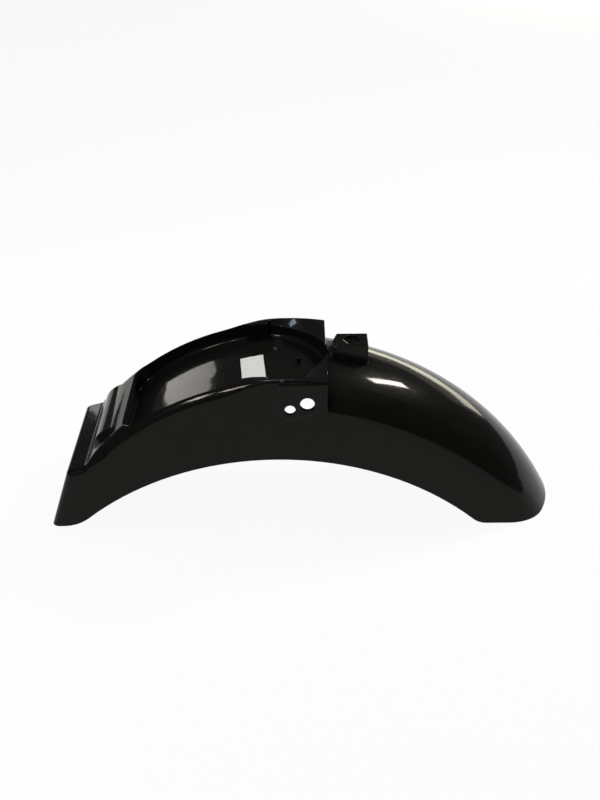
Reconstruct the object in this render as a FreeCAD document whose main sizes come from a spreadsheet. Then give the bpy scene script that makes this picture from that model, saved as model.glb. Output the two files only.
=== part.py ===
"""Inner rear mudguard of a motorbike: one thin moulding that arches over the rear wheel.

Frame: X runs from the front lip to the tail, Y across the wheel, Z up. The feet stand on Z = 0 and the
origin is midway between the lip and the tail, on the plane of symmetry. Millimetres.
"""
import math
import os
import re

import FreeCAD
import Part
import Sketcher

V = FreeCAD.Vector
SIDE_ON = FreeCAD.Rotation(V(1, 0, 0), 90)       # sketch x to X, sketch y to Z
ACROSS = FreeCAD.Rotation(V(1, 1, 1), 120)       # sketch x to Y, sketch y to Z
FLAT = FreeCAD.Rotation()                        # sketch x to X, sketch y to Y

SIZES = {
    # shell
    "overall_length": 731,
    "overall_width": 187,
    "wall": 3,
    # square-shouldered front block: its top follows a circle about the wheel
    "rim_radius": 362,
    "rim_height": 241.5,
    "step_x": 32,             # where the block ends and the round crown takes over
    "edge_round": 5,          # shoulders beside the rear of the tray
    "round_until_x": -120,
    "square_from_x": -45,     # forward of here the shoulders grow rounder
    "front_round": 22,        # shoulders of the apron
    "lip_blend_run": 29,      # over this run behind the ledge they grow tight again
    "lip_round": 10,
    # lip at the front of the apron and the ledge above it
    "lip_height": 93,
    "lip_run": 31.6,
    "ledge_rise": 7,
    "ledge_run": 24.8,
    "ledge_round": 8,
    # round crown of the rear
    "crown_radius": 453,
    "crown_height": 242,
    "section_radius": 150,    # arc across the top of the crown
    "shoulder_radius": 50,
    "section_depth": 150,
    # arch that clears the wheel, and the rounded heels of the feet
    "arch_radius": 424,
    "arch_height": 114,
    "arch_x": -37,
    "front_heel": 60,
    "rear_heel": 30,
    # tray under the seat
    "tray_depth": 26,
    "tray_base": 56,          # height at which the tray's column starts, well under its floor
    "tray_margin": 9,         # width of the deck beside the tray
    "tray_front_run": 56,     # from the ledge to the tray
    "tray_tip_x": 35,
    "tray_corner": 24,
    "tray_end_radius": 105,
    "tray_tip_radius": 45,
    "tray_fillet": 5.5,
    # seat boss on the crown
    "boss_x": 69,
    "boss_length": 43,
    "boss_breadth": 36,
    "boss_top": 252.5,
    "boss_slope": 8,          # run of the sloping front end
    "boss_hole": 11,
    "boss_recess": 22,
    "boss_recess_depth": 4,
    # pads on the side walls and their two holes
    "pad_proud": 2,
    "pad_border": 8,
    "large_hole": 20,
    "large_hole_x": 5,
    "large_hole_z": 205,
    "small_hole": 15,
    "small_hole_x": -18.5,
    "small_hole_z": 196,
    # round ridge across the apron
    "ridge_run": 26.6,        # from the ledge to its crest
    "ridge_radius": 39,
    "ridge_height": 9,
    "ridge_half_length": 60,
    "ridge_taper": 11,
    # flanks that slope from the side walls down to the rear of the tray
    "flank_front_x": -48,
    "flank_front_y": 77,
    "flank_front_drop": 17,
    "flank_mid_x": 8,
    "flank_mid_y": 57,
    "flank_mid_drop": 5.6,
    "flank_end_y": 30,
    "flank_end_drop": 1,
    "flank_margin": 5.5,
    "flank_rise": 1.2,        # by this much the slopes pass over the deck's own curve
    # posts on the tray's walls and a peg on its floor
    "post_x": -67,
    "post_length": 32,
    "post_proud": 7,
    "post_below_deck": 3,
    "peg_x": -7,
    "peg_radius": 3,
    "peg_height": 9,
    # label on the floor of the tray
    "label_x": -71,
    "label_y": -10.5,
    "label_length": 33,
    "label_breadth": 74,
    "label_turn": 5,
    "label_thickness": 0.3,
    "label_clearance": 0.1,
}

doc = FreeCAD.newDocument("mudguard")
sheet = doc.addObject("Spreadsheet::Sheet", "dims")
for row, (alias, value) in enumerate(SIZES.items(), start=1):
    sheet.set(f"A{row}", alias)
    sheet.set(f"B{row}", str(value))
    sheet.setAlias(f"B{row}", alias)
doc.recompute()
ALIAS = re.compile(r"\b(" + "|".join(SIZES) + r")\b")

# lengths that follow from the sizes: each drop is the depth of a circle's centre below the feet
RUNS = ("lip_blend", "tray_front", "ridge")
FOLLOWING = {
    **{f"{name}_x": f"(ledge_end_x + {name}_run)" for name in RUNS},
    "rim_x": "(ledge_end_x + sqrt(rim_radius ^ 2 - (rim_drop + lip_height + ledge_rise) ^ 2))",
    "ledge_end_x": "(lip_run + ledge_run - overall_length / 2)",
    "rim_drop": "(rim_radius - rim_height)",
    "crown_drop": "(crown_radius - crown_height)",
}


def formula(text):
    """The same formula with each following length written out and each alias as a reference to the sheet."""
    for name, meaning in FOLLOWING.items():
        text = re.sub(rf"\b{name}\b", meaning, text)
    return ALIAS.sub(r"dims.\1", text)


def size(text):
    """The value of a formula over the sheet's aliases."""
    result = sheet.evalExpression(formula(text))
    return float(getattr(result, "Value", result))


def bind(obj, **properties):
    """Ties properties of an object to formulas. A double underscore stands for the dot of a sub-property."""
    for name, text in properties.items():
        obj.setExpression(name.replace("__", "."), formula(text))
    return obj


def make(kind, name, **properties):
    """A new object of the document, with its sizes bound."""
    return bind(doc.addObject(kind, name), **properties)


def place(obj, rotation, x="0", y="0", z="0"):
    """Turns an object and ties its position."""
    obj.Placement = FreeCAD.Placement(V(size(x), size(y), size(z)), rotation)
    return bind(obj, Placement__Base__x=x, Placement__Base__y=y, Placement__Base__z=z)


def arc_between(start, end, radius, centre_on_left):
    """The short arc between two points, with its centre to the left or right of the way from start to end."""
    chord = end - start
    middle = (start + end) * 0.5
    left = V(-chord.y, chord.x, 0).normalize()
    rise = math.sqrt(radius ** 2 - (chord.Length / 2) ** 2)
    centre = middle + left * (rise if centre_on_left else -rise)
    first, last = (start, end) if centre_on_left else (end, start)
    angles = [math.atan2(p.y - centre.y, p.x - centre.x) for p in (first, last)]
    return Part.ArcOfCircle(Part.Circle(centre, V(0, 0, 1), radius), *angles)


def outline(sketch, corners):
    """Draws a closed outline in a sketch and fixes each corner and radius by a formula.

    A corner is (x, y) when a straight edge leaves it, or (x, y, radius, side) when an arc leaves it with its
    centre on that side of the way to the next corner.
    """
    points = [V(size(c[0]), size(c[1]), 0) for c in corners]
    ends = []
    for i, corner in enumerate(corners):
        start, end = points[i], points[(i + 1) % len(points)]
        if len(corner) == 2:
            geometry = Part.LineSegment(start, end)
            ends.append((1, 2))
        else:
            on_left = corner[3] == "left"
            geometry = arc_between(start, end, size(corner[2]), on_left)
            ends.append((1, 2) if on_left else (2, 1))
        sketch.addGeometry(geometry, False)
    for i, corner in enumerate(corners):
        following = (i + 1) % len(corners)
        sketch.addConstraint(Sketcher.Constraint("Coincident", i, ends[i][1], following, ends[following][0]))
        fixes = [("DistanceX", corner[0], points[i].x), ("DistanceY", corner[1], points[i].y)]
        for kind, text, value in fixes:
            index = sketch.addConstraint(Sketcher.Constraint(kind, i, ends[i][0], value))
            sketch.setExpression(f"Constraints[{index}]", formula(text))
        if len(corner) == 4:
            index = sketch.addConstraint(Sketcher.Constraint("Radius", i, size(corner[2])))
            sketch.setExpression(f"Constraints[{index}]", formula(corner[2]))
    return sketch


def circle(sketch, radius, x, y):
    """Draws a circle whose centre and radius are fixed by formulas."""
    centre = V(size(x), size(y), 0)
    sketch.addGeometry(Part.Circle(centre, V(0, 0, 1), size(radius)), False)
    for kind, text in (("Radius", radius), ("DistanceX", x), ("DistanceY", y)):
        where = (0,) if kind == "Radius" else (0, 3)
        index = sketch.addConstraint(Sketcher.Constraint(kind, *where, size(text)))
        sketch.setExpression(f"Constraints[{index}]", formula(text))
    return sketch


def sketch_on(rotation, name, x="0", y="0", z="0"):
    """A sketch of its own, turned to a plane."""
    return place(doc.addObject("Sketcher::SketchObject", name), rotation, x, y, z)


def prism(profile, name, breadth):
    """A side-on profile made solid across the plane of symmetry."""
    solid = make("Part::Extrusion", name, LengthFwd=breadth)
    solid.Base = profile
    solid.DirMode = "Custom"
    solid.Dir = V(0, 1, 0)
    solid.Solid = True
    solid.Symmetric = True
    return solid


def ring_sector(section, name, angle, x, z):
    """A section turned about a cross-axis through (x, z), towards the tail."""
    solid = make("Part::Revolution", name, Base__x=x, Base__z=z)
    solid.Source = section
    solid.Axis = V(0, 1, 0)
    solid.Angle = angle
    solid.Solid = True
    return solid


def cross_rod(name, radius, length, x, z):
    """A round rod across the plane of symmetry."""
    rod = make("Part::Cylinder", name, Radius=radius, Height=length)
    return place(rod, FreeCAD.Rotation(V(1, 0, 0), 90), x, f"({length}) / 2", z)


def joined(kind, name, shapes):
    """One boolean over several shapes."""
    result = doc.addObject(kind, name)
    result.Shapes = shapes
    return result


def cut(name, base, tool):
    """One shape with another taken out of it."""
    result = doc.addObject("Part::Cut", name)
    result.Base = base
    result.Tool = tool
    return result


HALF = "(overall_width / 2)"
CROWN_X = "(overall_length / 2 - sqrt(crown_radius ^ 2 - crown_drop ^ 2))"
RIM_TOP = "(rim_radius - rim_drop)"
FLOOR_RADIUS = "(rim_radius - tray_depth)"


def on_rim(x, radius="rim_radius"):
    """Formulas for the point at a radius about the rim's centre, on the spoke through the rim at x."""
    lean = f"(({x} - rim_x) / rim_radius)"
    return f"(rim_x + {radius} * {lean})", f"({radius} * sqrt(1 - {lean} ^ 2) - rim_drop)"


def rounded(base, name, radii):
    """A shape with edges rounded: radii maps an edge's number to its radius at each end."""
    fillet = doc.addObject("Part::Fillet", name)
    fillet.Base = base
    fillet.Edges = [(number, first, last) for number, (first, last) in radii.items()]
    doc.recompute()
    return fillet


def block_form(name, inside):
    """Lip, ledge and square-shouldered block as a solid, drawn inside the outer surface by a distance.

    Its shoulders are tight at the lip, round along the apron and nearly square over the rear of the tray.
    Inside, one radius serves all along.
    """
    lip_wall = f"({inside} * sqrt(lip_run ^ 2 + lip_height ^ 2) / lip_height)"
    front_x = f"({lip_wall} - overall_length / 2)"
    lip_z = f"(lip_height - {inside})"
    lip_x = f"({front_x} + lip_run * {lip_z} / lip_height)"
    ledge_z = f"(lip_height + ledge_rise - {inside})"
    radius = f"(rim_radius - {inside})"
    ledge_x = f"(rim_x - sqrt({radius} ^ 2 - (rim_drop + {ledge_z}) ^ 2))"
    end_x = f"(step_x - {inside})"
    below = f"(-wall - {inside})"

    def rim_z(x):
        return f"(sqrt({radius} ^ 2 - ({x} - rim_x) ^ 2) - rim_drop)"

    profile = outline(sketch_on(SIDE_ON, f"{name}_profile"), [
        (front_x, "0"),
        (front_x, below),
        (end_x, below),
        (end_x, rim_z(end_x), radius, "left"),
        ("square_from_x", rim_z("square_from_x"), radius, "left"),
        ("round_until_x", rim_z("round_until_x"), radius, "left"),
        ("lip_blend_x", rim_z("lip_blend_x"), radius, "left"),
        (ledge_x, ledge_z),
        (lip_x, lip_z),
    ])
    half = f"({HALF} - {inside})"
    solid = prism(profile, f"{name}_prism", f"2 * {half}")
    doc.recompute()

    inset = size(inside)
    bends = {size(lip_z): size("ledge_round") - inset, size(ledge_z): size("ledge_round") + inset}
    radii = {}
    for number, edge in enumerate(solid.Shape.Edges, start=1):
        for height, bend in bends.items():
            if edge.BoundBox.ZLength < 1e-6 and abs(edge.BoundBox.Center.z - height) < 1e-3:
                radii[number] = (bend, bend)
    solid = rounded(solid, f"{name}_ledge", radii)

    def shoulder(point):
        """Radius of the shoulder at a point of its edge."""
        square, square_from = size("edge_round"), size("square_from_x")
        share = min(1, max(0, (square_from - point.x) / (square_from - size("round_until_x"))))
        if inset > 0:
            share = 1
        elif point.x < size("lip_blend_x") - 1:
            return size("lip_round")
        return square + (size("front_round") - square) * share - inset

    radii = {}
    for number, edge in enumerate(solid.Shape.Edges, start=1):
        box = edge.BoundBox
        beside = box.YLength < 1e-6 and abs(abs(box.Center.y) - size(half)) < 1e-6
        if beside and box.ZMax > 1 and box.XMin < size(end_x) - 1:
            radii[number] = tuple(shoulder(vertex.Point) for vertex in edge.Vertexes)
    return rounded(solid, name, radii)


def crown_sector(name, inside):
    """The rear's round-topped section, drawn inside the outer surface by a distance and turned to the tail.

    Inside, flats stand for its arcs, two for each shoulder and four for the top.
    """
    half = f"({HALF} - {inside})"
    top = f"(crown_radius - crown_drop - {inside})"
    top_radius, shoulder_radius = f"(section_radius - {inside})", f"(shoulder_radius - {inside})"
    centre_y = f"({HALF} - shoulder_radius)"
    apart = "(section_radius - shoulder_radius)"
    reach = f"sqrt({apart} ^ 2 - {centre_y} ^ 2)"
    shoulder_z = f"({top} - {top_radius} + {reach})"
    join_y = f"({centre_y} * {top_radius} / {apart})"
    join_z = f"({top} - {top_radius} + {reach} * {top_radius} / {apart})"
    bottom_z = f"(crown_radius - crown_drop - section_depth - {inside})"
    bottom = [(f"-{half}", bottom_z), (half, bottom_z)]
    if inside == "0":
        corners = bottom + [
            (half, shoulder_z, shoulder_radius, "left"),
            (join_y, join_z, top_radius, "left"),
            (f"-{join_y}", join_z, shoulder_radius, "left"),
            (f"-{half}", shoulder_z),
        ]
    else:
        join_lean = f"atan({reach} / {centre_y})"
        flats = []
        for step in (0, 1):
            lean = f"({join_lean} * {step} / 2)"
            y = f"({centre_y} + {shoulder_radius} * cos({lean}))"
            flats.append((y, f"({shoulder_z} + {shoulder_radius} * sin({lean}))"))
        for step in (0, 1):
            lean = f"({join_lean} + (90 deg - {join_lean}) * {step} / 2)"
            y = f"({top_radius} * cos({lean}))"
            flats.append((y, f"({top} + {top_radius} * (sin({lean}) - 1))"))
        mirrored = [(f"-{y}", z) for y, z in reversed(flats)]
        corners = bottom + flats + [("0", top)] + mirrored
    section = outline(sketch_on(ACROSS, f"{name}_section", CROWN_X), corners)
    return ring_sector(section, name, 115, CROWN_X, "-crown_drop")


def tray(name, grow):
    """Solid form of the tray, larger by grow all round, with its floor curved about the rim's centre.

    The tray itself has a rounded edge to its floor. The shell around it has a square one.
    """
    side = f"({HALF} - tray_margin + {grow})"
    front = f"(tray_front_x - {grow})"
    corner = f"(tray_corner + {grow})"
    end_radius, tip_radius = f"(tray_end_radius + {grow})", f"(tray_tip_radius + {grow})"
    offset_y = f"({side} - {end_radius})"
    tip_centre_x = f"(tray_tip_x + {grow} - {tip_radius})"
    end_x = f"({tip_centre_x} - sqrt((tray_end_radius - tray_tip_radius) ^ 2 - {offset_y} ^ 2))"
    share = f"({tip_radius} / (tray_end_radius - tray_tip_radius))"
    join_x = f"({tip_centre_x} + ({tip_centre_x} - {end_x}) * {share})"
    join_y = f"(-{offset_y} * {share})"
    body = doc.addObject("PartDesign::Body", name)
    plan = body.newObject("Sketcher::SketchObject", f"{name}_plan")
    outline(plan, [
        (f"({front} + {corner})", f"-{side}"),
        (end_x, f"-{side}", end_radius, "left"),
        (join_x, f"-{join_y}", tip_radius, "left"),
        (join_x, join_y, end_radius, "left"),
        (end_x, side),
        (f"({front} + {corner})", side, corner, "left"),
        (front, f"({side} - {corner})"),
        (front, f"-({side} - {corner})", corner, "left"),
    ])
    place(plan, FLAT, z="tray_base")
    column = body.newObject("PartDesign::Pad", f"{name}_column")
    bind(column, Length=f"{RIM_TOP} + tray_depth - tray_base")
    column.Profile = plan
    below = body.newObject("Sketcher::SketchObject", f"{name}_floor_circle")
    below.Placement = FreeCAD.Placement(V(0, 0, 0), SIDE_ON)
    circle(below, f"({FLOOR_RADIUS} - {grow})", "rim_x", "-rim_drop")
    floor = bind(body.newObject("PartDesign::Pocket", f"{name}_floor"), Length="2 * overall_width")
    floor.Profile = below
    floor.Midplane = True
    if grow != "0":
        return body
    doc.recompute()
    floor_radius = size(FLOOR_RADIUS)
    edges = []
    for i, edge in enumerate(floor.Shape.Edges, start=1):
        ends = [edge.valueAt(t) for t in (edge.FirstParameter, edge.LastParameter)]
        spokes = [math.hypot(p.x - size("rim_x"), p.z + size("rim_drop")) for p in ends]
        if all(abs(spoke - floor_radius) < 0.01 for spoke in spokes):
            edges.append(f"Edge{i}")
    fillet = bind(body.newObject("PartDesign::Fillet", f"{name}_fillet"), Radius="tray_fillet")
    fillet.Base = (floor, edges)
    return body


def boss():
    """Seat boss on the crown, solid, the space inside it, and its hole with the nut's recess."""
    front = "(boss_x - boss_length / 2)"
    back = "(boss_x + boss_length / 2)"
    root = "(crown_radius - crown_drop - 60)"
    profile = outline(sketch_on(SIDE_ON, "boss_profile"), [
        (f"({front} - boss_slope)", root),
        (back, root),
        (back, "boss_top"),
        (front, "boss_top"),
        (f"({front} - boss_slope)", "(boss_top - 2 * boss_slope)"),
    ])
    solid = prism(profile, "boss", "boss_breadth")
    hollow = make("Part::Box", "boss_void", Length="boss_length - 2 * wall", Width="boss_breadth - 2 * wall",
                  Height=f"boss_top - boss_recess_depth - wall - {root}")
    place(hollow, FLAT, f"{front} + wall", "wall - boss_breadth / 2", root)
    hole = make("Part::Cylinder", "boss_hole", Radius="boss_hole / 2", Height="boss_top")
    place(hole, FLAT, "boss_x", z="boss_top / 2")
    recess = make("Part::Prism", "boss_recess", Circumradius="boss_recess / sqrt(3)",
                  Height="2 * boss_recess_depth")
    recess.Polygon = 6
    place(recess, FLAT, "boss_x", z="boss_top - boss_recess_depth")
    return solid, hollow, [hole, recess]


def side_pads():
    """Raised pads on both side walls, as one prism across the block, and the two holes through them."""
    small, large = "(small_hole / 2 + pad_border)", "(large_hole / 2 + pad_border)"
    left, right = f"(small_hole_x - {small})", f"(large_hole_x + {large})"
    top = "(sqrt(rim_radius ^ 2 - (step_x - rim_x) ^ 2) - rim_drop - edge_round / 2)"
    profile = outline(sketch_on(SIDE_ON, "pad_profile"), [
        (left, top),
        (left, "small_hole_z", small, "left"),
        ("small_hole_x", f"(small_hole_z - {small})"),
        ("large_hole_x", f"(large_hole_z - {large})", large, "left"),
        (right, "large_hole_z"),
        (right, top),
    ])
    holes = []
    length = "(2 * wall + 4 * pad_proud)"
    for side, y in (("near", f"({length} / 2 - {HALF})"), ("far", f"({length} / 2 + {HALF})")):
        for hole in ("large_hole", "small_hole"):
            rod = make("Part::Cylinder", f"{side}_{hole}", Radius=f"{hole} / 2", Height=length)
            turn = FreeCAD.Rotation(V(1, 0, 0), 90)
            holes.append(place(rod, turn, f"{hole}_x", y, f"{hole}_z"))
    return prism(profile, "side_pads", "overall_width + 2 * pad_proud"), holes


def apron_ridge():
    """Broad round ridge across the apron, mostly sunk in it, with tapered ends, and the space inside it."""
    x, z = on_rim("ridge_x", "(rim_radius + ridge_height - ridge_radius)")
    rods = [cross_rod("ridge_rod", "ridge_radius", "2 * ridge_half_length", x, z)]
    for side, sign, turn in (("near", "-", 90), ("far", "", -90)):
        end = make("Part::Cone", f"ridge_{side}_end", Radius1="ridge_radius",
                   Radius2="ridge_radius - ridge_height", Height="ridge_taper")
        rods.append(place(end, FreeCAD.Rotation(V(1, 0, 0), turn), x, f"{sign}ridge_half_length", z))
    space = cross_rod("ridge_space", "(ridge_radius - wall)", "2 * ridge_half_length", x, z)
    return joined("Part::MultiFuse", "ridge", rods), space


def flanks(name, grow):
    """Space above the tray's sloping flanks, larger by grow: steep in front, nearly level at the rear."""
    outer = f"({HALF} - flank_margin + {grow})"
    above = f"({RIM_TOP} + tray_depth)"
    stations = [
        ("front", f"(flank_front_x - {grow})", "flank_front_y", "flank_front_drop"),
        ("mid", "flank_mid_x", "flank_mid_y", "flank_mid_drop"),
        ("end", "step_x", "flank_end_y", "flank_end_drop"),
    ]
    sections = []
    for station, x, y, drop in stations:
        deck = f"(sqrt(rim_radius ^ 2 - ({x} - rim_x) ^ 2) - rim_drop)"
        high, low = f"({deck} + flank_rise - {grow})", f"({deck} - {drop} - {grow})"
        sections.append(outline(sketch_on(ACROSS, f"{name}_{station}", x), [
            (f"-{outer}", above),
            (f"-{outer}", high),
            (f"-({y} + {grow})", low),
            (f"({y} + {grow})", low),
            (outer, high),
            (outer, above),
        ]))
    space = doc.addObject("Part::Loft", name)
    space.Sections = sections
    space.Solid = True
    space.Ruled = True
    return space


def tray_posts():
    """Blocks left standing on the tray's side walls, and a peg on its floor."""
    posts = []
    starts = {"near": f"(-{HALF} + tray_margin - wall)", "far": f"({HALF} - tray_margin - post_proud)"}
    for side, start in starts.items():
        post = make("Part::Box", f"{side}_post", Length="post_length", Width="post_proud + wall",
                    Height=f"{RIM_TOP} - post_below_deck - tray_base")
        posts.append(place(post, FLAT, "post_x - post_length / 2", start, "tray_base"))
    floor_z = f"(sqrt({FLOOR_RADIUS} ^ 2 - (peg_x - rim_x) ^ 2) - rim_drop)"
    peg = make("Part::Cylinder", "peg", Radius="peg_radius", Height=f"{floor_z} + peg_height - tray_base")
    posts.append(place(peg, FLAT, "peg_x", z="tray_base"))
    return posts


def wheel_arch():
    """Everything below the arch and the feet: the wheel's space with rounded heels, and the ground."""
    drop = "(arch_radius - arch_height)"

    def heel(radius):
        """Formulas for how far out a heel meets the ground, and where it meets the arch."""
        reach = f"sqrt((arch_radius + {radius}) ^ 2 - ({drop} + {radius}) ^ 2)"
        share = f"(arch_radius / (arch_radius + {radius}))"
        return reach, f"({reach} * {share})", f"(({drop} + {radius}) * {share} - {drop})"

    front_reach, front_x, front_z = heel("front_heel")
    rear_reach, rear_x, rear_z = heel("rear_heel")
    below = "(-2 * wall)"
    profile = outline(sketch_on(SIDE_ON, "arch_profile"), [
        (f"(arch_x - {front_reach})", below),
        (f"(arch_x + {rear_reach})", below),
        (f"(arch_x + {rear_reach})", "0", "rear_heel", "right"),
        (f"(arch_x + {rear_x})", rear_z, "arch_radius", "left"),
        (f"(arch_x - {front_x})", front_z, "front_heel", "right"),
        (f"(arch_x - {front_reach})", "0"),
    ])
    arch = prism(profile, "wheel_arch", "2 * overall_width")
    ground = make("Part::Box", "ground", Length="2 * overall_length", Width="2 * overall_width",
                  Height="overall_length")
    place(ground, FLAT, "-overall_length", "-overall_width", "-overall_length")
    return [arch, ground]


def label():
    """Paper label lying on the curved floor of the tray."""
    seat = f"({FLOOR_RADIUS} + label_clearance)"
    under = cross_rod("label_under", seat, "overall_width", "rim_x", "-rim_drop")
    over = cross_rod("label_over", f"({seat} + label_thickness)", "overall_width", "rim_x", "-rim_drop")
    sheet_of_floor = cut("label_layer", over, under)
    block = make("Part::Box", "label_block", Length="label_length", Width="label_breadth", Height=RIM_TOP)
    ahead, aside = "cos(label_turn * 1 deg) / 2", "sin(label_turn * 1 deg) / 2"
    x = f"label_x - label_length * {ahead} + label_breadth * {aside}"
    y = f"label_y - label_length * {aside} - label_breadth * {ahead}"
    place(block, FreeCAD.Rotation(V(0, 0, 1), size("label_turn")), x, y)
    return joined("Part::MultiCommon", "label", [sheet_of_floor, block])


def mudguard():
    """The whole moulding."""
    block, block_void = block_form("front_block", "0"), block_form("front_void", "wall")
    round_crown, crown_void = crown_sector("crown", "0"), crown_sector("crown_void", "wall")
    boss_solid, boss_void, boss_cuts = boss()
    pads, pad_holes = side_pads()
    ridge, ridge_space = apron_ridge()
    solid = joined("Part::MultiFuse", "solid_form", [block, round_crown, boss_solid, pads, ridge])
    inside = joined("Part::MultiFuse", "inner_space", [block_void, crown_void, boss_void, ridge_space])
    skin = cut("outer_skin", solid, inside)
    tray_wall = joined("Part::MultiCommon", "tray_wall", [tray("tray_shell", "wall"), solid])
    flank_wall = joined("Part::MultiCommon", "flank_wall", [flanks("flank_shell", "wall"), solid])
    whole = joined("Part::MultiFuse", "skin_and_tray", [skin, tray_wall, flank_wall])
    posts = joined("Part::MultiFuse", "tray_posts", tray_posts())
    tray_space = cut("tray_space", tray("tray", "0"), posts)
    cuts = [tray_space, flanks("flank_space", "0")] + boss_cuts + pad_holes + wheel_arch()
    return cut("mudguard", whole, joined("Part::MultiFuse", "cuts", cuts))


nodes = [mudguard(), label()]
doc.recompute()

for obj in doc.Objects:
    bad = [state for state in obj.State if state in ("Invalid", "Error")]
    if bad:
        raise RuntimeError(f"{obj.Name}: {bad}")
    if obj.isDerivedFrom("Part::Feature") and (obj.Shape.isNull() or not obj.Shape.isValid()):
        raise RuntimeError(f"{obj.Name}: shape not valid")

os.makedirs("parts", exist_ok=True)
for node in nodes:
    node.Label = node.Name
    node.Shape.exportStep(os.path.join("parts", f"{node.Name}.step"))
    print(node.Name, len(node.Shape.Solids), "solids", round(node.Shape.Volume), "mm3", node.Shape.BoundBox)
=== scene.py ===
"""Looks of the inner rear mudguard: one gloss black moulding with a paper label in its tray."""

import math

import bpy
from mathutils import Matrix, Vector

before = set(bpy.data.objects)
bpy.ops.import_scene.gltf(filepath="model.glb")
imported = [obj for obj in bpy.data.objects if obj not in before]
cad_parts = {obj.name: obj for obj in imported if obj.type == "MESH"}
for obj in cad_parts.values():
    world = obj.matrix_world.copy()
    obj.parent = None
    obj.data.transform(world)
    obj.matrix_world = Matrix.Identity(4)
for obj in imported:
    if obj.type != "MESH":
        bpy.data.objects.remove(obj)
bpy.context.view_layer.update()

# Where the picture is taken from, in metres and degrees. The focal length is in pixels of a picture
# of that height, and the sensor's height is in millimetres.
AIM = Vector((-0.005, 0.0, 0.154))
STAND_BACK = 1.535
ELEVATION = 31.5
ROLL = -0.45
FOCAL_PIXELS = 1060.0
PICTURE_HEIGHT = 800.0
SENSOR = 36.0

# Linear colours of the finishes and of the room.
BLACK_DEEP = (0.0046, 0.0043, 0.0037, 1)
BLACK_PALE = (0.0066, 0.0061, 0.0053, 1)
BLACK_UNDERSIDE = (0.016, 0.016, 0.016, 1)
# A warm tint laid on every reflection off the black moulding: the reflections are real, their warmth is a
# painted reflection of a warm room.
PAINTED_REFLECTION_TINT = (1.0, 0.96, 0.89, 1)
DUST_GREY = (0.42, 0.40, 0.37, 1)
PAPER_DARK = (0.70, 0.655, 0.61, 1)
PAPER_LIGHT = (0.80, 0.765, 0.725, 1)
PAPER_FIBRE = (0.60, 0.57, 0.54, 1)
PAPER_DIRT = (0.40, 0.37, 0.34, 1)
FLOOR_GREY = (0.86, 0.86, 0.85, 1)
ROOM_GREY = (0.075, 0.075, 0.075, 1)
WHITE = (1, 1, 1, 1)

# The gloss of the black moulding, kept low because the white floor would grey its walls, and the thin dull
# coat over it.
PLASTIC_IOR = 1.47
GLOSS_LEVEL = 0.11
COAT_WEIGHT = 0.05
COAT_ROUGHNESS = 0.34

# The least and most roughness of the haze, and what the marks and the underside add to it.
HAZE_ROUGHNESS = (0.045, 0.085)
SCRATCH_ROUGHNESS = 0.22
DUST_ROUGHNESS = 0.12
UNDERSIDE_ROUGHNESS = 0.32

# The axle that the underside faces, in metres, and how far a surface turns to it to count as underside.
AXLE = (-0.030, 0.0, -0.16)
UNDERSIDE_FACING = (-0.03, -0.12)

# Scales of the patterns, in repeats per metre.
SCRATCHES_PER_METRE = 720.0
WANDER_PER_METRE = 9.0
PATCHES_PER_METRE = 14.0
VEIL_PER_METRE = 22.0
SPECKS_PER_METRE = 260.0
MOTTLE_PER_METRE = 35.0
HAZE_PER_METRE = 11.0
RIPPLES_PER_METRE = 26.0
FIBRES_PER_METRE = 900.0
CLOUDS_PER_METRE = 60.0
CREASES_PER_METRE = 120.0

# The wiping lines: how far they wander in metres, how they are drawn out along X, and the spans of noise
# over which a line and a patch of lines fade in.
WANDER_REACH = 0.012
SCRATCH_STRETCH = (0.025, 1.0, 1.0)
SCRATCH_FADE = 0.05
PATCH_LEVELS = (0.42, 0.62)

# Four layers of wiping lines: the turn in degrees that sets a layer's pattern apart from the others,
# and the noise level above which a line shows.
WIPES = (((12, 8, 24), 0.66), ((-20, 35, -38), 0.67), ((40, -15, 71), 0.68), ((5, 62, 118), 0.67))

# How much dust lies on the plastic and on the paper, and how far it hides their colours.
DUST_ON_PLASTIC = 0.5
DUST_ON_PAPER = 0.35
DUST_SHARE = 0.07
DIRT_SHARE = 0.5

# The radius in metres to which edge highlights are rounded, and the bumps, whose distance is in metres too.
EDGE_RADIUS = 0.0018
EDGE_SAMPLES = 8
WAVE_BUMP = {"Strength": 0.25, "Distance": 0.0010}
SCRATCH_BUMP = {"Strength": 0.12, "Distance": 0.00006}
CREASE_BUMP = {"Strength": 0.35, "Distance": 0.0006}

# The floor: half its length, its drop below the part and the share of it that reads as plain white.
FLOOR_REACH = 30.0
FLOOR_DROP = 0.0004
FLOOR_WHITE_SHARE = 0.93

# The lamps: name, point faced, azimuth, elevation, distance, width, height, brightness and colour.
LAMPS = (
    ("key_window", (0.12, -0.044, 0.207), 49, 45.5, 2.2, 0.17, 0.58, 95.0, (1.0, 0.96, 0.91)),
    ("tray_window", (-0.165, 0.0, 0.185), -27, 13.5, 1.0, 0.24, 0.30, 4.0, (1.0, 0.96, 0.93)),
    ("back_wall", (0.2, 0.0, 0.19), 24, 11, 4.2, 3.2, 1.2, 0.60, (1.0, 0.94, 0.82)),
    ("overhead", (0.0, 0.0, 0.2), 180, 84, 3.2, 5.0, 4.0, 0.12, (1.0, 0.95, 0.88)),
    ("sky_window", (-0.012, 0.082, 0.236), -48, 76, 2.2, 0.54, 0.40, 27.0, (0.66, 0.84, 1.0)),
    ("low_window", (0.18, 0.0, 0.2), 25, 4.3, 4.0, 2.4, 0.60, 5.5, (1.0, 0.98, 0.78)),
    ("side_window", (-0.135, -0.09, 0.212), -142, 36, 2.0, 0.26, 0.28, 55.0, (1.0, 0.97, 0.93)),
)


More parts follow.
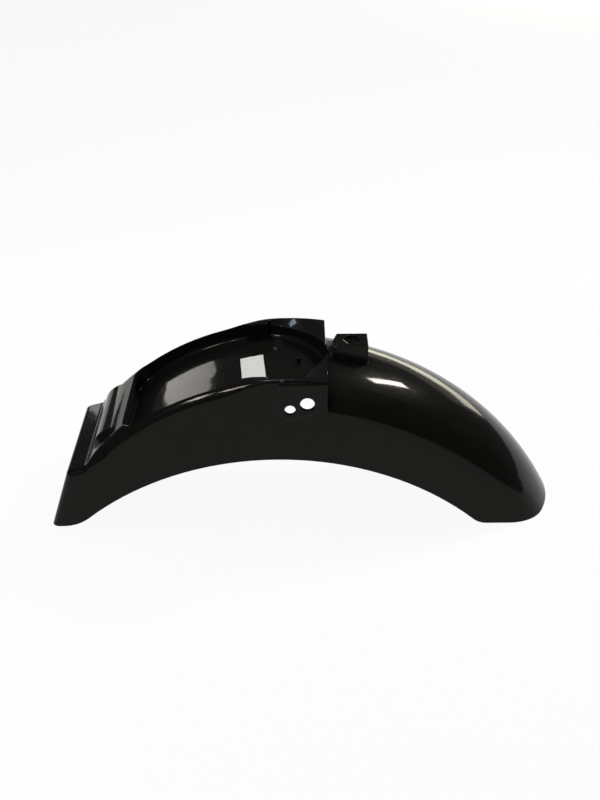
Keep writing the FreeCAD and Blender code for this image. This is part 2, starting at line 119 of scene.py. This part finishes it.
class Nodes:
    """A node tree with short calls to add nodes, set their inputs and link them."""

    def __init__(self, tree):
        self.tree = tree
        self.column = 0

    def add(self, kind, settings=None, **inputs):
        """A node whose inputs are given by name: a number or colour is set, and a socket is linked."""
        node = self.tree.nodes.new(kind)
        node.location = (self.column * 190, 0)
        self.column += 1
        for key, value in (settings or {}).items():
            setattr(node, key, value)
        for key, value in inputs.items():
            self.feed(node.inputs[key.replace("_", " ")], value)
        return node

    def feed(self, socket, value):
        """Links a socket to an input, or sets the input's own value."""
        if isinstance(value, bpy.types.NodeSocket):
            self.tree.links.new(value, socket)
        else:
            socket.default_value = value

    def math(self, operation, first, second=None, clamp=False):
        """One sum on values."""
        node = self.add("ShaderNodeMath", {"operation": operation, "use_clamp": clamp})
        self.feed(node.inputs[0], first)
        if second is not None:
            self.feed(node.inputs[1], second)
        return node.outputs[0]

    def ranged(self, value, low, high, to_low=0.0, to_high=1.0):
        """A value spread smoothly from one range to another."""
        node = self.add("ShaderNodeMapRange", {"interpolation_type": "SMOOTHSTEP"}, Value=value)
        for name, number in (("From Min", low), ("From Max", high), ("To Min", to_low), ("To Max", to_high)):
            self.feed(node.inputs[name], number)
        return node.outputs["Result"]

    def mixed(self, share, first, second):
        """Two colours mixed."""
        node = self.add("ShaderNodeMix", {"data_type": "RGBA"})
        for name, value in (("Factor_Float", share), ("A_Color", first), ("B_Color", second)):
            self.feed(next(s for s in node.inputs if s.identifier == name), value)
        return next(s for s in node.outputs if s.identifier == "Result_Color")

    def mapped(self, point, turn=(0, 0, 0), scale=(1, 1, 1)):
        """A point scaled, then turned by degrees."""
        node = self.add("ShaderNodeMapping", Vector=point)
        node.inputs["Rotation"].default_value = [math.radians(a) for a in turn]
        node.inputs["Scale"].default_value = scale
        return node.outputs["Vector"]

    def noise(self, point, scale, detail=2.0, roughness=0.5):
        """A cloudy value from 0 to 1."""
        node = self.add("ShaderNodeTexNoise", Vector=point, Scale=scale, Detail=detail, Roughness=roughness)
        return node.outputs["Fac"]


def effect(name, wants, gives):
    """An empty shader group with named values in and out."""
    group = bpy.data.node_groups.new(name, "ShaderNodeTree")
    for socket, kind, value in wants:
        made = group.interface.new_socket(socket, in_out="INPUT", socket_type=kind)
        if value is not None:
            made.default_value = value
    for socket, kind in gives:
        group.interface.new_socket(socket, in_out="OUTPUT", socket_type=kind)
    nodes = Nodes(group)
    return group, nodes, nodes.add("NodeGroupInput").outputs, nodes.add("NodeGroupOutput").inputs


def wiping_lines():
    """Fine lines left by wiping along the part: four layers of long thin streaks, broken up in patches."""
    group, n, wanted, given = effect(
        "wiping_lines",
        [("Point", "NodeSocketVector", None), ("Fineness", "NodeSocketFloat", SCRATCHES_PER_METRE)],
        [("Lines", "NodeSocketFloat")],
    )
    total = None
    for turn, cutoff in WIPES:
        bent = n.add("ShaderNodeVectorMath", {"operation": "ADD"})
        wander = n.add("ShaderNodeTexNoise", Vector=wanted["Point"], Scale=WANDER_PER_METRE, Detail=1.0)
        shrunk = n.add("ShaderNodeVectorMath", {"operation": "SCALE"}, Scale=WANDER_REACH)
        n.feed(shrunk.inputs[0], wander.outputs["Color"])
        n.feed(bent.inputs[0], wanted["Point"])
        n.feed(bent.inputs[1], shrunk.outputs[0])
        turned = n.mapped(bent.outputs[0], turn, SCRATCH_STRETCH)
        streak = n.add("ShaderNodeTexNoise", Vector=turned, Scale=wanted["Fineness"], Detail=1.0)
        line = n.ranged(streak.outputs["Fac"], cutoff, cutoff + SCRATCH_FADE)
        patch = n.ranged(n.noise(n.mapped(wanted["Point"], turn), PATCHES_PER_METRE), *PATCH_LEVELS)
        line = n.math("MULTIPLY", line, patch)
        total = line if total is None else n.math("MAXIMUM", total, line)
    n.feed(given["Lines"], total)
    return group


def settled_dust():
    """Specks and a thin veil of dust, thicker where a surface faces up."""
    group, n, wanted, given = effect(
        "settled_dust",
        [("Point", "NodeSocketVector", None), ("Amount", "NodeSocketFloat", DUST_ON_PLASTIC)],
        [("Dust", "NodeSocketFloat")],
    )
    facing = n.add("ShaderNodeSeparateXYZ", Vector=n.add("ShaderNodeNewGeometry").outputs["Normal"])
    up = n.ranged(facing.outputs["Z"], 0.1, 0.95, 0.15, 1.0)
    veil = n.ranged(n.noise(wanted["Point"], VEIL_PER_METRE, 4.0, 0.6), 0.4, 0.75, 0.0, 0.10)
    cells = n.add("ShaderNodeTexVoronoi", {"feature": "F1"}, Vector=wanted["Point"], Scale=SPECKS_PER_METRE)
    specks = n.ranged(cells.outputs["Distance"], 0.06, 0.13, 1.0, 0.0)
    chosen = n.add("ShaderNodeSeparateColor", Color=cells.outputs["Color"])
    specks = n.math("MULTIPLY", specks, n.ranged(chosen.outputs["Red"], 0.80, 0.84))
    dust = n.math("MULTIPLY", n.math("MAXIMUM", veil, specks), up)
    n.feed(given["Dust"], n.math("MULTIPLY", dust, wanted["Amount"], clamp=True))
    return group


def placed(nodes, group, **inputs):
    """A shader group placed in a material, with its own values."""
    node = nodes.add("ShaderNodeGroup", {"node_tree": group})
    for key, value in inputs.items():
        nodes.feed(node.inputs[key], value)
    return node.outputs


def material(name):
    """A new material with an empty Principled surface."""
    made = bpy.data.materials.new(name)
    made.use_nodes = True
    made.node_tree.nodes.clear()
    nodes = Nodes(made.node_tree)
    surface = nodes.add("ShaderNodeBsdfPrincipled")
    out = nodes.add("ShaderNodeOutputMaterial", Surface=surface.outputs["BSDF"])
    out.is_active_output = True
    return made, nodes, surface


def gloss_black(scratches, dust):
    """Polished black moulding with a faint haze, wiping marks, a slight wave and a rougher underside."""
    made, n, surface = material("gloss_black")
    point = n.add("ShaderNodeTexCoord").outputs["Object"]
    geometry = n.add("ShaderNodeNewGeometry")
    lines = placed(n, scratches, Point=point, Fineness=SCRATCHES_PER_METRE)["Lines"]
    specks = placed(n, dust, Point=point, Amount=DUST_ON_PLASTIC)["Dust"]

    # The underside faces the wheel: its normals point towards the wheel's axle, below the arch.
    from_axle = n.add("ShaderNodeVectorMath", {"operation": "SUBTRACT"})
    n.feed(from_axle.inputs[0], point)
    from_axle.inputs[1].default_value = AXLE
    spoke = n.add("ShaderNodeVectorMath", {"operation": "MULTIPLY"})
    n.feed(spoke.inputs[0], from_axle.outputs[0])
    spoke.inputs[1].default_value = (1.0, 0.0, 1.0)
    away = n.add("ShaderNodeVectorMath", {"operation": "DOT_PRODUCT"})
    n.feed(away.inputs[0], spoke.outputs[0])
    n.feed(away.inputs[1], geometry.outputs["Normal"])
    underside = n.ranged(away.outputs["Value"], *UNDERSIDE_FACING)

    mottle = n.noise(point, MOTTLE_PER_METRE, 3.0)
    tint = n.mixed(mottle, BLACK_DEEP, BLACK_PALE)
    tint = n.mixed(underside, tint, BLACK_UNDERSIDE)
    tint = n.mixed(n.math("MULTIPLY", specks, DUST_SHARE), tint, DUST_GREY)
    n.feed(surface.inputs["Base Color"], tint)

    haze = n.ranged(n.noise(point, HAZE_PER_METRE, 3.0), 0.35, 0.75, *HAZE_ROUGHNESS)
    rough = n.math("ADD", haze, n.math("MULTIPLY", lines, SCRATCH_ROUGHNESS))
    rough = n.math("ADD", rough, n.math("MULTIPLY", specks, DUST_ROUGHNESS))
    rough = n.math("ADD", rough, n.math("MULTIPLY", underside, UNDERSIDE_ROUGHNESS), clamp=True)
    n.feed(surface.inputs["Roughness"], rough)
    surface.inputs["IOR"].default_value = PLASTIC_IOR
    surface.inputs["Specular IOR Level"].default_value = GLOSS_LEVEL
    # Painted reflection colour: the moulding's real reflections are tinted warm.
    surface.inputs["Specular Tint"].default_value = PAINTED_REFLECTION_TINT
    surface.inputs["Coat Weight"].default_value = COAT_WEIGHT
    surface.inputs["Coat Roughness"].default_value = COAT_ROUGHNESS

    edges = n.add("ShaderNodeBevel", {"samples": EDGE_SAMPLES}, Radius=EDGE_RADIUS).outputs["Normal"]
    ripple = n.noise(point, RIPPLES_PER_METRE, 1.0)
    wave = n.add("ShaderNodeBump", Height=ripple, Normal=edges, **WAVE_BUMP)
    marks = n.add("ShaderNodeBump", Height=lines, **SCRATCH_BUMP)
    marks.invert = True
    n.feed(marks.inputs["Normal"], wave.outputs["Normal"])
    n.feed(surface.inputs["Normal"], marks.outputs["Normal"])
    return made


def label_paper(dust):
    """Bare off-white paper label with faint fibres, creases and specks of dust."""
    made, n, surface = material("label_paper")
    point = n.add("ShaderNodeTexCoord").outputs["Object"]
    specks = placed(n, dust, Point=point, Amount=DUST_ON_PAPER)["Dust"]
    fibres = n.noise(n.mapped(point, (0, 0, 6), (1.0, 0.25, 1.0)), FIBRES_PER_METRE, 3.0, 0.6)
    cloud = n.noise(point, CLOUDS_PER_METRE, 3.0)
    tint = n.mixed(cloud, PAPER_DARK, PAPER_LIGHT)
    tint = n.mixed(n.ranged(fibres, 0.55, 0.8, 0.0, 0.25), tint, PAPER_FIBRE)
    tint = n.mixed(n.math("MULTIPLY", specks, DIRT_SHARE), tint, PAPER_DIRT)
    n.feed(surface.inputs["Base Color"], tint)
    n.feed(surface.inputs["Roughness"], n.ranged(fibres, 0.3, 0.8, 0.45, 0.62))
    creases = n.noise(n.mapped(point, (0, 0, 30), (0.35, 1.0, 1.0)), CREASES_PER_METRE, 2.0)
    bump = n.add("ShaderNodeBump", Height=n.math("ADD", creases, fibres), **CREASE_BUMP)
    n.feed(surface.inputs["Normal"], bump.outputs["Normal"])
    return made


def studio_floor():
    """Plain pale floor that reads white to the eye and in reflections, and still takes the soft shadow."""
    mesh = bpy.data.meshes.new("studio_floor")
    far = FLOOR_REACH
    corners = [(-far, -far, 0), (far, -far, 0), (far, far, 0), (-far, far, 0)]
    mesh.from_pydata(corners, [], [(0, 1, 2, 3)])
    floor = bpy.data.objects.new("studio_floor", mesh)
    floor.location.z = -FLOOR_DROP
    bpy.context.scene.collection.objects.link(floor)
    made = bpy.data.materials.new("pale_floor")
    made.use_nodes = True
    made.node_tree.nodes.clear()
    n = Nodes(made.node_tree)
    plain = n.add("ShaderNodeBsdfDiffuse", Color=FLOOR_GREY)
    white = n.add("ShaderNodeEmission", Color=WHITE, Strength=1.0)
    path = n.add("ShaderNodeLightPath").outputs
    seen = n.math("MAXIMUM", path["Is Camera Ray"], path["Is Glossy Ray"])
    seen = n.math("MAXIMUM", seen, path["Is Transmission Ray"])
    blend = n.add("ShaderNodeMixShader")
    n.feed(blend.inputs[0], n.math("MULTIPLY", seen, FLOOR_WHITE_SHARE))
    n.feed(blend.inputs[1], plain.outputs[0])
    n.feed(blend.inputs[2], white.outputs[0])
    n.add("ShaderNodeOutputMaterial", Surface=blend.outputs[0])
    mesh.materials.append(made)


def soft_box(name, aim, azimuth, elevation, distance, width, height, glow, colour):
    """A rectangular lamp facing a point. Azimuth runs from +Y to +X, and glow is how bright it looks."""
    a, e = math.radians(azimuth), math.radians(elevation)
    way = Vector((math.sin(a) * math.cos(e), math.cos(a) * math.cos(e), math.sin(e)))
    lamp = bpy.data.lights.new(name, "AREA")
    lamp.shape = "RECTANGLE"
    lamp.size = width
    lamp.size_y = height
    lamp.energy = glow * math.pi * width * height
    lamp.color = colour
    holder = bpy.data.objects.new(name, lamp)
    holder.location = Vector(aim) + way * distance
    holder.rotation_euler = way.to_track_quat("Z", "Y").to_euler()
    holder.visible_camera = False
    bpy.context.scene.collection.objects.link(holder)


def studio_light():
    """Soft boxes above, behind and at the front left of the part, and a dim grey room."""
    for lamp in LAMPS:
        soft_box(*lamp)
    world = bpy.data.worlds.new("dim_room")
    world.use_nodes = True
    backdrop = world.node_tree.nodes["Background"]
    backdrop.inputs["Color"].default_value = ROOM_GREY
    backdrop.inputs["Strength"].default_value = 1.0
    bpy.context.scene.world = world


def photo_camera():
    """Camera at the picture's own viewing angle."""
    e, r = math.radians(ELEVATION), math.radians(ROLL)
    back = Vector((0.0, -math.cos(e), math.sin(e)))
    level = Vector((1.0, 0.0, 0.0))
    upright = back.cross(level)
    right = level * math.cos(r) + upright * math.sin(r)
    up = upright * math.cos(r) - level * math.sin(r)
    lens = bpy.data.cameras.new("photo_camera")
    lens.sensor_fit = "VERTICAL"
    lens.sensor_height = SENSOR
    lens.lens = FOCAL_PIXELS / PICTURE_HEIGHT * SENSOR
    lens.clip_end = 100.0
    camera = bpy.data.objects.new("photo_camera", lens)
    turn = Matrix((right, up, back)).transposed().to_4x4()
    camera.matrix_world = Matrix.Translation(AIM + back * STAND_BACK) @ turn
    bpy.context.scene.collection.objects.link(camera)
    bpy.context.scene.camera = camera


def dress(node, finish):
    """Gives a solid of the frame its finish."""
    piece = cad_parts[node]
    piece.data.materials.clear()
    piece.data.materials.append(finish)


scratch_lines, dust_layer = wiping_lines(), settled_dust()
dress("mudguard", gloss_black(scratch_lines, dust_layer))
dress("label", label_paper(dust_layer))
studio_floor()
studio_light()
photo_camera()
bpy.context.scene.view_settings.view_transform = "Standard"
